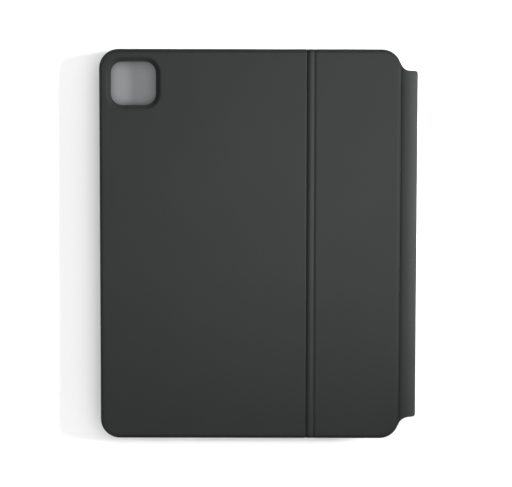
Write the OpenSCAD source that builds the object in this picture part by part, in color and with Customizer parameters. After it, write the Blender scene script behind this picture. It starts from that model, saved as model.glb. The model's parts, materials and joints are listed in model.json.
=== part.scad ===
// Tablet keyboard case, closed and lying flat on its feet, back cover upwards.
// +Y points to the spine, +X to the right of someone typing, +Z up.
// The origin is at the bottom centre of the closed case.

/* [Case] */
// Width of the case, along the keyboard
case_w = 254; // [254:1:258]
// Depth of the covers, without the spine
case_d = 195; // [195:1:198]
// How far the spine stands out behind the covers
spine_depth = 11; // [10.5:0.5:12]
// Radius of the covers' outer corners
corner_r = 12.5; // [11:0.5:13.5]
// Width of the spine strip
spine_w = 226; // [220:1:228]

/* [Stand] */
// Distance from the covers' rear edge to the stand's hinge axis
hinge_from_rear = 58.1; // [55:0.1:62]
// Half width of the fold line between the two back panels
fold_half = 3.4; // [3.3:0.1:4]
// Outer radius of the hinge knuckles
knuckle_r = 1.2; // [1.1:0.05:1.2]

/* [Camera window] */
// Size of the window across the case's width
window_w = 28.2; // [26:0.1:30]
// Size of the window across the case's depth
window_d = 29.3; // [27:0.1:30]
// Corner radius of the window
window_r = 7.5; // [5:0.5:9]
// Width of the bevelled rim round the window
rim_w = 3; // [2:0.1:3.2]

/* [Keyboard] */
// Distance between the centres of two letter keys
key_unit = 16.4; // [15.5:0.1:16.4]
// Gap between neighbouring keys
key_gap = 1.4; // [1.2:0.1:2]
// Depth of the function keys
function_key_d = 9.5; // [8:0.5:10]
// How far a key travels
key_travel = 1.2; // [0.8:0.1:1.2]
// Size of the trackpad across the width
pad_w = 107.2; // [90:0.2:108]
// Size of the trackpad across the depth
pad_d = 64.2; // [50:0.2:65]

/* [Hidden] */
$fn = 48;

// Colours
skin_c = [0.23, 0.235, 0.24];
board_c = [0.36, 0.34, 0.31];
shell_c = [0.15, 0.15, 0.16];
rubber_c = [0.11, 0.11, 0.12];
lining_c = [0.30, 0.31, 0.32];
plate_c = [0.50, 0.51, 0.52];
key_c = [0.14, 0.14, 0.15];
pad_c = [0.42, 0.43, 0.44];
steel_c = [0.70, 0.71, 0.72];
magnet_c = [0.62, 0.62, 0.60];
circuit_c = [0.10, 0.28, 0.18];
cell_c = [0.72, 0.73, 0.75];
light_c = [0.92, 0.95, 0.92];

// Outline of the covers
half_w = case_w / 2;
front_y = -(case_d + spine_depth) / 2;
rear_y = front_y + case_d;
spine_y = rear_y + spine_depth;
hinge_y = rear_y - hinge_from_rear;

// Play between pieces that move past each other
play = 0.3;

// Heights, from the floor up
foot_z = 0.8;
deck_skin_z = 1.6;
floor_z = 2.8;
wall_z = 6.0;
deck_z = 7.2;
key_top_z = 8.0;
lip_z = deck_z + play;
bay_z = 8.5;
lining_z = 14.8;
tray_z = 15.2;
board_z = 16.8;
skin_z = 19.2;
top_z = 20.0;

// Tablet bay
wall_t = 3;
bay_x = half_w - wall_t;
bay_y1 = front_y + wall_t;
rail_y = rear_y - 10;
bay_y2 = rail_y - wall_t;
bay_r = 9.5;
lip_w = 1.2;
bay_mid_y = (bay_y1 + bay_y2) / 2;

// Camera window
window_x = -half_w + 22.1;
window_y = front_y + 22.1;

// Insets of the inner pieces from the covers' outline
frame_inset = 0.6;
skin_t = 0.8;
deck_inset = 0.8;
inner_rear_y = rear_y - play;

// Stand hinge
hinge_z = 18.3;
pin_r = 0.6;
pin_hole_r = 0.65;
knuckle_half = 124;
knuckle_inner = 40;
knuckle_outer = 90;
strip_z = 17.5;
strip_t = 0.6;
strip_reach = 11;
stand_z = board_z + play;

// Spine: two fold axes in the middle of its wall
spine_t = 1.6;
fold_y = spine_y - spine_t / 2;
upper_fold_z = 12;
lower_fold_z = 4;
fold_bead_r = 0.8;
fold_clear = 1.5;
arch_y = rear_y + 4.5;
arch_z = upper_fold_z + fold_clear;
arch_h = 4.9;
flare_r = 8;
spine_end_r = 1;

// Keyboard rows: the widths of the keys, in key units
ones = [for (i = [1:13]) 1];
ROWS = [
    [for (i = [1:14]) 14.5 / 14],
    concat(ones, [1.5]),
    concat([1.5], ones),
    concat([1.75], [for (i = [1:11]) 1], [1.75]),
    concat([2.25], [for (i = [1:10]) 1], [2.25]),
    [1, 1, 1, 1.25, 5, 1.25, 1, 1, 1, 1]
];
ARROW_PAIR = 8;
keys_rear_y = bay_y2 - lip_w - 1;
key_r = 1.6;
key_clear = 0.35;
board_top_z = 3.6;
membrane_z = 4.8;
key_z = membrane_z + play + key_travel;

// Trackpad
pad_gap = 0.4;
pad_rear_y = -21.4;

// Positions of the screws
SCREWS = [for (side = [-1, 1]) each [
    [side * (half_w - 11), front_y + 11], [side * (half_w - 4.8), -20],
    [side * (half_w - 4.8), 40], [side * (half_w - 11), rear_y - 9], [side * 45, rear_y - 8]
]];
screw_r = 0.8;
screw_head_r = 1.5;
boss_r = 2.1;
screw_grip = 0.7;

// Sum of the first n entries of a list
function sum_to(v, n) = n <= 0 ? 0 : v[n - 1] + sum_to(v, n - 1);

// Left edge of a key, and the front edge and depth of its row
function key_x(row, i) =
    (sum_to(ROWS[row], i) - sum_to(ROWS[row], len(ROWS[row])) / 2) * key_unit + key_gap / 2;
function key_w(row, i) = ROWS[row][i] * key_unit - key_gap;
function row_d(row) = row == 0 ? function_key_d : key_unit - key_gap;
function row_y(row) = row == 0
    ? keys_rear_y - function_key_d
    : keys_rear_y - function_key_d - row * key_unit;

// Points of a rounded rectangle with a few straight steps in each corner
function soft_corner(x, y, r, turn) =
    [for (a = [0:30:90]) [x + r * cos(turn + a), y + r * sin(turn + a)]];
function soft_rect(x, y, w, d, r) = concat(
    soft_corner(x + w - r, y + d - r, r, 0), soft_corner(x + r, y + d - r, r, 90),
    soft_corner(x + r, y + r, r, 180), soft_corner(x + w - r, y + r, r, 270)
);

// Rectangle with true arcs in its corners
module round_rect(x1, y1, x2, y2, r) {
    translate([x1 + r, y1]) square([x2 - x1 - 2 * r, y2 - y1]);
    translate([x1, y1 + r]) square([x2 - x1, y2 - y1 - 2 * r]);
    for (x = [x1 + r, x2 - r]) for (y = [y1 + r, y2 - r]) translate([x, y]) circle(r);
}

// Outline of the covers, drawn in from the edge and cut to a stretch of the depth
module cover_outline(inset, y1 = front_y, y2 = rear_y) {
    intersection() {
        round_rect(-half_w + inset, front_y + inset, half_w - inset, rear_y - inset, corner_r - inset);
        translate([-case_w, y1]) square([2 * case_w, y2 - y1]);
    }
}

// Upright block over a flat outline
module block(z1, z2) {
    translate([0, 0, z1]) linear_extrude(z2 - z1) children();
}

// Upright disc or rod
module rod(x, y, z1, z2, r) {
    translate([x, y, z1]) cylinder(h = z2 - z1, r = r);
}

// Plain box between two corners
module box(low, high) {
    translate(low) cube(high - low);
}

// Camera window, grown by some width all round
module window(grow = 0) {
    round_rect(
        window_x - window_w / 2 - grow, window_y - window_d / 2 - grow,
        window_x + window_w / 2 + grow, window_y + window_d / 2 + grow, window_r + grow
    );
}

// ---- Lid ----

module back_skin() {
    color(skin_c) {
        block(skin_z, top_z) difference() {
            cover_outline(0, y2 = hinge_y - fold_half);
            window(rim_w);
        }
        block(board_z, skin_z) difference() {
            cover_outline(0, y2 = hinge_y - fold_half);
            cover_outline(skin_t);
        }
    }
}

module back_board() {
    color(board_c) difference() {
        block(board_z, skin_z) difference() {
            cover_outline(skin_t, y2 = hinge_y - fold_half);
            window(1.5);
        }
        knuckle_strips(fixed_spans(), -1, 0.05);
        for (x = cover_magnet_x()) rod(x, front_y + 5.5, board_z - 1, board_z + 1.6, 3.1);
    }
}

module camera_bezel() {
    color(rubber_c) {
        block(board_z, skin_z) difference() {
            window(1.5);
            window();
        }
        block(skin_z, skin_z + 0.4) difference() {
            window(rim_w);
            window();
        }
    }
}

module tray_shell() {
    color(shell_c) block(tray_z, board_z) difference() {
        cover_outline(frame_inset, y2 = inner_rear_y);
        window();
    }
}

module tray_lining() {
    color(lining_c) block(lining_z, tray_z) difference() {
        round_rect(-bay_x + 0.2, bay_y1 + 0.2, bay_x - 0.2, bay_y2 - 0.2, bay_r);
        window();
    }
}

// Cut-outs of the frame: box of each one, by its middle along the wall and its length
module wall_cuts() {
    for (side = [-1, 1]) for (y = [-60, 39]) {
        box([side * half_w - 5, bay_mid_y + y + 3, 10.6], [side * half_w + 5, bay_mid_y + y + 18, 12.8]);
    }
    box([half_w - 5, bay_mid_y - 7.5, 9], [half_w + 5, bay_mid_y + 7.5, 14.3]);
    box([-half_w - 5, front_y + 14, 9.2], [-half_w + 5, front_y + 30, 14.1]);
    box([-29, front_y - 5, 9], [29, front_y + 5, 14.3]);
    for (x = volume_x()) box([x - 5.8, front_y - 5, 9.9], [x + 5.8, front_y + 5, 13.3]);
}

module bumper_frame() {
    color(rubber_c) difference() {
        block(lip_z, tray_z) cover_outline(frame_inset, y2 = rail_y);
        block(bay_z, tray_z + 1) round_rect(-bay_x, bay_y1, bay_x, bay_y2, bay_r);
        block(lip_z - 1, bay_z + 1) {
            round_rect(-bay_x + lip_w, bay_y1 + lip_w, bay_x - lip_w, bay_y2 - lip_w, bay_r - lip_w);
        }
        wall_cuts();
    }
}

function rail_magnet_x() = [-90, -60, -30, 0, 30, 60, 90];
rail_magnet_l = 20;

module rear_rail() {
    color(shell_c) difference() {
        block(lip_z, tray_z) cover_outline(frame_inset, rail_y, inner_rear_y);
        for (x = rail_magnet_x()) {
            box([x - rail_magnet_l / 2, rail_y + 2.5, 10.2], [x + rail_magnet_l / 2, rail_y + 7, tray_z + 1]);
        }
    }
}

module rail_magnets() {
    color(magnet_c) for (x = rail_magnet_x()) {
        box([x - rail_magnet_l / 2 + 0.1, rail_y + 2.6, 10.2], [x + rail_magnet_l / 2 - 0.1, rail_y + 6.9, 15]);
    }
}

function cover_magnet_x() = [-80, -30, 30, 80];

module cover_magnets() {
    color(magnet_c) for (x = cover_magnet_x()) rod(x, front_y + 5.5, board_z, board_z + 1.5, 3);
}

function volume_x() = [-half_w + 28, -half_w + 43];

// Cover of one volume button: a pad outside, a stem through the wall
module volume_button(x) {
    color(rubber_c) {
        box([x - 5.4, front_y + 0.2, 10.3], [x + 5.4, front_y + frame_inset + 0.4, 12.9]);
        box([x - 5, front_y + frame_inset + 0.4, 10.5], [x + 5, front_y + wall_t - 0.2, 12.7]);
    }
}

module volume_up_button() { volume_button(volume_x()[0]); }
module volume_down_button() { volume_button(volume_x()[1]); }

// ---- Stand hinge ----

function fixed_spans() = [[-knuckle_half, -knuckle_outer], [-knuckle_inner, knuckle_inner], [knuckle_outer, knuckle_half]];
function moving_spans() = [[-knuckle_outer + play, -knuckle_inner - play], [knuckle_inner + play, knuckle_outer - play]];

// Flat strips that run from the knuckles into a board, towards -Y or +Y
module knuckle_strips(spans, way, grow = 0) {
    for (s = spans) {
        box(
            [s[0] - grow, way < 0 ? hinge_y - strip_reach - grow : hinge_y, strip_z - grow],
            [s[1] + grow, way < 0 ? hinge_y : hinge_y + strip_reach + grow, strip_z + strip_t + grow]
        );
    }
}

module knuckles(spans, way) {
    color(steel_c) difference() {
        union() {
            knuckle_strips(spans, way);
            for (s = spans) translate([s[0], hinge_y, hinge_z]) rotate([0, 90, 0]) {
                cylinder(h = s[1] - s[0], r = knuckle_r);
            }
        }
        translate([-half_w, hinge_y, hinge_z]) rotate([0, 90, 0]) cylinder(h = case_w, r = pin_hole_r);
    }
}

module hinge_knuckles_fixed() { knuckles(fixed_spans(), -1); }
module hinge_knuckles_moving() { knuckles(moving_spans(), 1); }

module hinge_pin() {
    color(steel_c) translate([-knuckle_half, hinge_y, hinge_z]) rotate([0, 90, 0]) {
        cylinder(h = 2 * knuckle_half, r = pin_r);
    }
}

// ---- Stand leaf ----

stand_lining_t = 0.4;

module stand_skin() {
    color(skin_c) {
        block(skin_z, top_z) cover_outline(0, y1 = hinge_y + fold_half);
        block(stand_z, skin_z) difference() {
            cover_outline(0, y1 = hinge_y + fold_half);
            cover_outline(skin_t);
        }
    }
}

module stand_board() {
    color(board_c) difference() {
        block(stand_z + stand_lining_t, skin_z) cover_outline(skin_t, y1 = hinge_y + fold_half);
        knuckle_strips(moving_spans(), 1, 0.05);
        for (x = keeper_x()) {
            box([x - 15.1, rear_y - 8.6, stand_z], [x + 15.1, rear_y - 2.4, stand_z + stand_lining_t + 0.6]);
        }
    }
}

module stand_lining() {
    color(lining_c) block(stand_z, stand_z + stand_lining_t) cover_outline(skin_t, y1 = hinge_y + fold_half);
}

function keeper_x() = [-75, 0, 75];

module stand_keeper_plates() {
    color(steel_c) for (x = keeper_x()) {
        box([x - 15, rear_y - 8.5, stand_z + stand_lining_t],
            [x + 15, rear_y - 2.5, stand_z + stand_lining_t + 0.5]);
    }
}

// ---- Spine ----

// Outline of the spine strip: concave flares join its ends to the covers' corners
flare_x = spine_w / 2 + flare_r;
flare_y = rear_y - corner_r + sqrt(pow(corner_r + flare_r, 2) - pow(flare_x - (half_w - corner_r), 2));

module spine_outline(y1) {
    intersection() {
        union() {
            round_rect(-spine_w / 2, y1 - 5, spine_w / 2, spine_y, spine_end_r);
            difference() {
                translate([-flare_x, y1 - 5]) square([2 * flare_x, flare_y - y1 + 5]);
                for (side = [-1, 1]) translate([side * flare_x, flare_y]) circle(flare_r);
            }
        }
        translate([-half_w, y1]) square([case_w, spine_y - y1]);
    }
}

// Section of the upper flange: an arch from the rail, over a crest, down to the upper fold
function arch_arc(shrink, a1, a2, step) = [for (a = [a1:step:a2])
    [arch_y + (spine_y - arch_y - shrink) * sin(a), arch_z + (arch_h - shrink) * cos(a)]];
arch_start = -asin((arch_y - rear_y - play) / (spine_y - arch_y));

module spine_flange_upper() {
    section = concat(
        [[inner_rear_y, arch_z], [inner_rear_y, board_z], [rear_y + play, board_z]],
        arch_arc(0, arch_start, 90, (90 - arch_start) / 20),
        arch_arc(spine_t, 90, -38, -8),
        [[inner_rear_y + spine_t, arch_z]]
    );
    color(skin_c) intersection() {
        rotate([90, 0, 90]) translate([0, 0, -half_w]) linear_extrude(case_w) polygon(section);
        block(0, top_z) spine_outline(inner_rear_y);
    }
}

// Section of the lower flange: flat under the deck's rear edge, then turned up to the lower fold
lower_turn_r = 2.4;
lower_turn_z = foot_z + lower_turn_r;
lower_top_z = lower_fold_z - fold_clear;

module spine_flange_lower() {
    turn_y = spine_y - lower_turn_r;
    top_a = asin((lower_turn_z - lower_top_z) / lower_turn_r);
    top_in = lower_turn_r - spine_t;
    section = concat(
        [[inner_rear_y, foot_z + spine_t], [inner_rear_y, foot_z]],
        [for (a = [270:6:360 - top_a]) [turn_y + lower_turn_r * cos(a), lower_turn_z + lower_turn_r * sin(a)]],
        [[spine_y - 0.1, lower_top_z], [spine_y - spine_t, lower_top_z]],
        [for (a = [-20:-10:-90]) [turn_y + top_in * cos(a), lower_turn_z + top_in * sin(a)]]
    );
    color(skin_c) intersection() {
        rotate([90, 0, 90]) translate([0, 0, -half_w]) linear_extrude(case_w) polygon(section);
        block(0, top_z) spine_outline(inner_rear_y);
    }
}

module spine_skin() {
    color(skin_c) {
        box([-spine_w / 2, spine_y - 0.6, lower_fold_z], [spine_w / 2, spine_y, upper_fold_z]);
        for (z = [lower_fold_z, upper_fold_z]) translate([-spine_w / 2, fold_y, z]) rotate([0, 90, 0]) {
            cylinder(h = spine_w, r = fold_bead_r);
        }
    }
}

module spine_board() {
    color(board_c) box(
        [-spine_w / 2 + 1, spine_y - spine_t, lower_fold_z + fold_clear],
        [spine_w / 2 - 1, spine_y - 0.6, upper_fold_z - fold_clear]
    );
}

// ---- Keyboard deck ----

module deck_outline(inset) {
    round_rect(
        -half_w + deck_inset + inset, front_y + deck_inset + inset,
        half_w - deck_inset - inset, inner_rear_y - inset, corner_r - deck_inset - inset
    );
}

shell_t = 1.6;
port_y = 70;
switch_y = 69;

module bottom_shell() {
    color(shell_c) difference() {
        union() {
            block(deck_skin_z, floor_z) deck_outline(0);
            block(floor_z, wall_z) difference() {
                deck_outline(0);
                deck_outline(shell_t);
            }
            for (p = SCREWS) rod(p[0], p[1], floor_z, wall_z, boss_r);
        }
        for (p = SCREWS) {
            rod(p[0], p[1], deck_skin_z - 1, deck_skin_z + 0.7, screw_head_r + 0.2);
            rod(p[0], p[1], deck_skin_z, wall_z + 1, screw_r + 0.1);
        }
        box([half_w - 5, port_y - 4.6, 2.9], [half_w + 1, port_y + 4.6, 5.9]);
        box([-half_w - 1, switch_y - 3.3, 3.3], [-half_w + 5, switch_y + 3.3, 5.5]);
    }
}

module deck_skin() {
    color(skin_c) block(foot_z, deck_skin_z) deck_outline(0);
}

module feet() {
    foot_x = half_w - 30;
    color(rubber_c) for (side = [-1, 1]) for (y = [front_y + 14, rear_y - 14]) {
        block(0, foot_z) round_rect(side * foot_x - 17, y - 2.5, side * foot_x + 17, y + 2.5, 2.5);
    }
}

// Upper and lower half of the cell that the two upright arrows share
module arrow_key(upper, grow = 0) {
    half_d = (row_d(5) - 0.8) / 2;
    y = row_y(5) + (upper ? half_d + 0.8 : 0);
    polygon(soft_rect(
        key_x(5, ARROW_PAIR) - grow, y - grow, key_w(5, ARROW_PAIR) + 2 * grow, half_d + 2 * grow, key_r - 0.4
    ));
}

// Footprint of one key
module key_shape(row, i) {
    polygon(soft_rect(key_x(row, i), row_y(row), key_w(row, i), row_d(row), key_r));
}

module keys(row, indexes) {
    color(key_c) block(key_z, key_top_z) for (i = indexes) key_shape(row, i);
}

module top_plate() {
    color(plate_c) difference() {
        block(wall_z, deck_z) deck_outline(0);
        for (row = [0:5]) for (i = [0:len(ROWS[row]) - 1]) {
            box(
                [key_x(row, i) - key_clear, row_y(row) - key_clear, wall_z - 1],
                [key_x(row, i) + key_w(row, i) + key_clear, row_y(row) + row_d(row) + key_clear, deck_z + 1]
            );
        }
        box(
            [-pad_w / 2 - pad_gap, pad_rear_y - pad_d - pad_gap, wall_z - 1],
            [pad_w / 2 + pad_gap, pad_rear_y + pad_gap, deck_z + 1]
        );
        for (x = light_x()) rod(x, light_y, wall_z - 1, deck_z + 1, 0.8);
        for (p = SCREWS) rod(p[0], p[1], wall_z - 1, wall_z + screw_grip + 0.1, screw_r + 0.05);
    }
}

module key_membrane() {
    color(rubber_c) block(board_top_z, membrane_z) board_rect();
}

module key_circuit_board() {
    color(circuit_c) block(floor_z, board_top_z) board_rect();
}

module board_rect() {
    keys_x = 14.5 / 2 * key_unit;
    translate([-keys_x + 0.5, row_y(5)]) square([2 * keys_x - 1, keys_rear_y - row_y(5)]);
}

module battery_cells() {
    color(cell_c) for (side = [-1, 1]) block(floor_z, 5.4) {
        round_rect(side * 86 - 28, -88, side * 86 + 28, -28, 2);
    }
}

module main_board() {
    color(circuit_c) {
        box([55, keys_rear_y + 1.5, floor_z], [113, rear_y - 5, board_top_z]);
        box([60, keys_rear_y + 3, board_top_z], [68, rear_y - 7, 4.8]);
        box([78, keys_rear_y + 4, board_top_z], [84, rear_y - 7, 4.4]);
    }
}

module charging_port() {
    color(steel_c) difference() {
        translate([half_w - 8, 0, 0]) rotate([90, 0, 90]) linear_extrude(8 - deck_inset - 0.1) {
            round_rect(port_y - 4.45, 2.95, port_y + 4.45, 5.85, 1.4);
        }
        translate([half_w - 7, 0, 0]) rotate([90, 0, 90]) linear_extrude(8) difference() {
            round_rect(port_y - 4.15, 3.25, port_y + 4.15, 5.55, 1.1);
            translate([port_y - 3, 4.05]) square([6, 0.7]);
        }
    }
}

function light_x() = [102, 106, 110];
light_y = rear_y - 9;

module status_lights() {
    color(light_c) for (x = light_x()) rod(x, light_y, board_top_z, deck_z, 0.75);
}

// Slide switch: a knob outside the wall, a stem through it and a shoe inside
module power_switch() {
    color(rubber_c) {
        box([-half_w + 0.2, switch_y - 3, 3.5], [-half_w + deck_inset + 1.8, switch_y, 5.3]);
        box([-half_w + deck_inset + 1.8, switch_y - 4, 3.2], [-half_w + deck_inset + 3, switch_y + 1, 5.6]);
    }
}

module trackpad() {
    color(pad_c) block(6.3, deck_z) {
        polygon(soft_rect(-pad_w / 2, pad_rear_y - pad_d, pad_w, pad_d, 0.8));
    }
}

module trackpad_board() {
    color(circuit_c) box([-50, pad_rear_y - pad_d + 4, floor_z], [50, pad_rear_y - 4, 4.4]);
}

module deck_magnets() {
    color(magnet_c) for (x = cover_magnet_x()) rod(x, front_y + 5.5, floor_z, wall_z - 0.2, 2.5);
}

module screws() {
    color(steel_c) for (p = SCREWS) {
        rod(p[0], p[1], deck_skin_z, deck_skin_z + 0.7, screw_head_r);
        rod(p[0], p[1], deck_skin_z + 0.7, wall_z + screw_grip, screw_r);
    }
}

// ---- Keys ----

module function_keys() { keys(0, [0:13]); }
module number_keys() { keys(1, [0:12]); }
module top_letter_keys() { keys(2, [1:13]); }
module home_letter_keys() { keys(3, [1:11]); }
module bottom_letter_keys() { keys(4, [1:10]); }
module delete_key() { keys(1, [13]); }
module tab_key() { keys(2, [0]); }
module caps_lock_key() { keys(3, [0]); }
module return_key() { keys(3, [12]); }
module left_shift_key() { keys(4, [0]); }
module right_shift_key() { keys(4, [11]); }
module fn_key() { keys(5, [0]); }
module control_key() { keys(5, [1]); }
module left_option_key() { keys(5, [2]); }
module left_command_key() { keys(5, [3]); }
module space_key() { keys(5, [4]); }
module right_command_key() { keys(5, [5]); }
module right_option_key() { keys(5, [6]); }
module left_arrow_key() { keys(5, [7]); }
module right_arrow_key() { keys(5, [9]); }
module up_arrow_key() { color(key_c) block(key_z, key_top_z) arrow_key(true); }
module down_arrow_key() { color(key_c) block(key_z, key_top_z) arrow_key(false); }

back_skin();
back_board();
camera_bezel();
tray_shell();
tray_lining();
bumper_frame();
rear_rail();
rail_magnets();
cover_magnets();
volume_up_button();
volume_down_button();
spine_flange_upper();
hinge_knuckles_fixed();
hinge_pin();
stand_skin();
stand_board();
stand_lining();
stand_keeper_plates();
hinge_knuckles_moving();
spine_skin();
spine_board();
bottom_shell();
deck_skin();
spine_flange_lower();
feet();
top_plate();
key_membrane();
key_circuit_board();
battery_cells();
main_board();
charging_port();
status_lights();
power_switch();
trackpad();
trackpad_board();
deck_magnets();
screws();
function_keys();
number_keys();
top_letter_keys();
home_letter_keys();
bottom_letter_keys();
delete_key();
tab_key();
caps_lock_key();
return_key();
left_shift_key();
right_shift_key();
fn_key();
control_key();
left_option_key();
left_command_key();
space_key();
right_command_key();
right_option_key();
left_arrow_key();
up_arrow_key();
down_arrow_key();
right_arrow_key();
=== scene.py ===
"""Looks of the tablet keyboard case: its skins, keys, materials, lights and camera, round the CAD frame."""
import json
import math

import bmesh
import bpy
from mathutils import Matrix, Vector, geometry


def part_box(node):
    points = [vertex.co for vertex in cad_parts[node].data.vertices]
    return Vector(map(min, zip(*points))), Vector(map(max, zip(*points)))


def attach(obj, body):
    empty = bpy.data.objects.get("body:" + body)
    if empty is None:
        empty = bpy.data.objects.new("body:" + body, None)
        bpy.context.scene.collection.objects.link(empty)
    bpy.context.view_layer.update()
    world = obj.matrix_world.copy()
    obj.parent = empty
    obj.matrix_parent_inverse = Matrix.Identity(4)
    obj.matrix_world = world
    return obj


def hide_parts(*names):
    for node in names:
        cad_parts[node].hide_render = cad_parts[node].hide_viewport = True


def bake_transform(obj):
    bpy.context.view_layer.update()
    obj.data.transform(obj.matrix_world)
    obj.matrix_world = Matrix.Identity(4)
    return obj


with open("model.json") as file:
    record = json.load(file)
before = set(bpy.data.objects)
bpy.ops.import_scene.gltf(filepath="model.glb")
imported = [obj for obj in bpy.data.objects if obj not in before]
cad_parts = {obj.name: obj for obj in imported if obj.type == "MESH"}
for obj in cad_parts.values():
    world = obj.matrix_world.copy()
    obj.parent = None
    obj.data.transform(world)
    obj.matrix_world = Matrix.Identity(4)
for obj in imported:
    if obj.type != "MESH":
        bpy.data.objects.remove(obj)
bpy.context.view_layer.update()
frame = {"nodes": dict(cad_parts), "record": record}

MM = 0.001
NODES = frame["nodes"]
BODY_OF = {n: b for b, names in frame["record"]["behaviour"]["bodies"].items() for n in names}

# ---- Places, from the frame ----

BACK_LO, BACK_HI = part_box("back_skin")
_, LEAF_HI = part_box("stand_skin")
BEZEL_LO, BEZEL_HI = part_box("camera_bezel")
ARCH_LO, ARCH_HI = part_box("spine_flange_upper")
DECK_LO, DECK_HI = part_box("deck_skin")
_, WALL_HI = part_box("spine_skin")
PIN_LO, PIN_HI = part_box("hinge_pin")

HALF_W = BACK_HI.x
FRONT_Y = BACK_LO.y
REAR_Y = LEAF_HI.y
TOP_Z = BACK_HI.z
RIM_Z = BACK_LO.z
FOLD_Y = (PIN_LO.y + PIN_HI.y) / 2
SPINE_Y = WALL_HI.y
SPINE_HALF = WALL_HI.x

# ---- Sizes that the frame doesn't give ----

# Covers: radius of their corners in plan, radii of their rolled edges, and thickness of their skin
CORNER = 12.5 * MM
EDGE_ROLL = 2.3 * MM
REAR_ROLL = 2.0 * MM
SKIN_T = 0.5 * MM
# Slight drop of the skin near its edge, and how far in that starts
CROWN = 0.13 * MM
CROWN_W = 3.6 * MM
# Painted shade on the rolled edges, where shade falls: its width beside the spine, and half the width that
# its boundary fades over
REAR_SHADE_PAINT_W = 1.4 * MM
SHADE_PAINT_BLUR = 0.25 * MM
# From the front edge: where the painted edge shade starts, and how far it takes to reach its full strength
SHADE_PAINT_START = 3 * MM
SHADE_PAINT_RISE = 12 * MM
# Camera window: width of its rim in the CAD model, and radius of its corners
RIM_W = 3 * MM
WINDOW_R = 7.5 * MM
# Spacing of the skin's points on its flat parts, and along the straight part beside a corner
GRID = 4 * MM
CORNER_GRID = 3 * MM


# ---- Mesh helpers ----

def add_object(name, bm):
    """New object in the scene from a bmesh, which is used up."""
    mesh = bpy.data.meshes.new(name)
    bmesh.ops.recalc_face_normals(bm, faces=bm.faces)
    bm.to_mesh(mesh)
    bm.free()
    obj = bpy.data.objects.new(name, mesh)
    bpy.context.scene.collection.objects.link(obj)
    return obj


def apply_modifiers(obj):
    """Bakes the object's modifiers into its mesh."""
    bpy.context.view_layer.update()
    evaluated = obj.evaluated_get(bpy.context.evaluated_depsgraph_get())
    mesh = bpy.data.meshes.new_from_object(evaluated)
    obj.modifiers.clear()
    obj.data = mesh


def shade(obj, angle):
    """Smooth shading that breaks at edges sharper than the angle."""
    obj.data.polygons.foreach_set("use_smooth", [True] * len(obj.data.polygons))
    obj.data.set_sharp_from_angle(angle=math.radians(angle))


def solidify(obj, thickness):
    """Gives an open sheet its thickness, to the inside of its outer surface."""
    mod = obj.modifiers.new("thickness", "SOLIDIFY")
    mod.thickness = thickness
    mod.offset = -1
    apply_modifiers(obj)


def bevel(obj, width, segments=2, angle=35):
    """Rounds the edges that are sharper than the angle."""
    mod = obj.modifiers.new("bevel", "BEVEL")
    mod.width = width
    mod.segments = segments
    mod.limit_method = "ANGLE"
    mod.angle_limit = math.radians(angle)
    mod.use_clamp_overlap = False
    mod.loop_slide = False
    apply_modifiers(obj)


def flatten_normals(obj):
    """Lets the large faces set the shading at their corners, so that flat faces look flat."""
    mod = obj.modifiers.new("normals", "WEIGHTED_NORMAL")
    mod.mode = "FACE_AREA"
    mod.weight = 50
    mod.keep_sharp = True
    apply_modifiers(obj)


def softened(node, name, width, segments=2):
    """A copy of a hard CAD part with its sharp edges rounded, standing for the part."""
    bm = bmesh.new()
    bm.from_mesh(NODES[node].data)
    bmesh.ops.remove_doubles(bm, verts=bm.verts, dist=1e-6)
    bmesh.ops.dissolve_limit(bm, angle_limit=math.radians(0.4), verts=bm.verts, edges=bm.edges)
    obj = add_object(name, bm)
    bevel(obj, width, segments)
    shade(obj, 50)
    flatten_normals(obj)
    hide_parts(node)
    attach(obj, BODY_OF[node])
    return obj


def islands(node):
    """Lowest and highest corners of each separate solid of a node, from left to right."""
    bm = bmesh.new()
    bm.from_mesh(NODES[node].data)
    bmesh.ops.remove_doubles(bm, verts=bm.verts, dist=1e-6)
    seen, boxes = set(), []
    for start in bm.verts:
        if start in seen:
            continue
        stack, found = [start], []
        seen.add(start)
        while stack:
            v = stack.pop()
            found.append(v.co.copy())
            for e in v.link_edges:
                w = e.other_vert(v)
                if w not in seen:
                    seen.add(w)
                    stack.append(w)
        boxes.append(tuple(Vector([pick(c[i] for c in found) for i in range(3)]) for pick in (min, max)))
    bm.free()
    return sorted(boxes, key=lambda b: b[0].x)


def steps(a, b, spacing):
    """Evenly spaced values from a to b, both included."""
    n = max(1, round(abs(b - a) / spacing))
    return [a + (b - a) * i / n for i in range(n + 1)]


def rounded_loop(x1, y1, x2, y2, r, xs, ys, turns=14):
    """Points round a rounded rectangle: its sides at the given xs and ys, its corners as arcs."""
    xs = [x for x in xs if x1 + r + 1e-7 < x < x2 - r - 1e-7]
    ys = [y for y in ys if y1 + r + 1e-7 < y < y2 - r - 1e-7]

    def arc(cx, cy, start):
        return [(cx + r * math.cos(math.radians(start + 90 * i / turns)),
                 cy + r * math.sin(math.radians(start + 90 * i / turns))) for i in range(turns + 1)]

    loop = arc(x2 - r, y2 - r, 0) + [(x, y2) for x in reversed(xs)]
    loop += arc(x1 + r, y2 - r, 90) + [(x1, y) for y in reversed(ys)]
    loop += arc(x1 + r, y1 + r, 180) + [(x, y1) for x in xs]
    loop += arc(x2 - r, y1 + r, 270) + [(x2, y) for y in ys]
    return loop


def box_distance(x, y, x1, y1, x2, y2, r):
    """Signed distance from a rounded rectangle's edge, positive outside it."""
    dx = abs(x - (x1 + x2) / 2) - (x2 - x1) / 2 + r
    dy = abs(y - (y1 + y2) / 2) - (y2 - y1) / 2 + r
    return math.hypot(max(dx, 0), max(dy, 0)) + min(max(dx, dy), 0) - r


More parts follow.
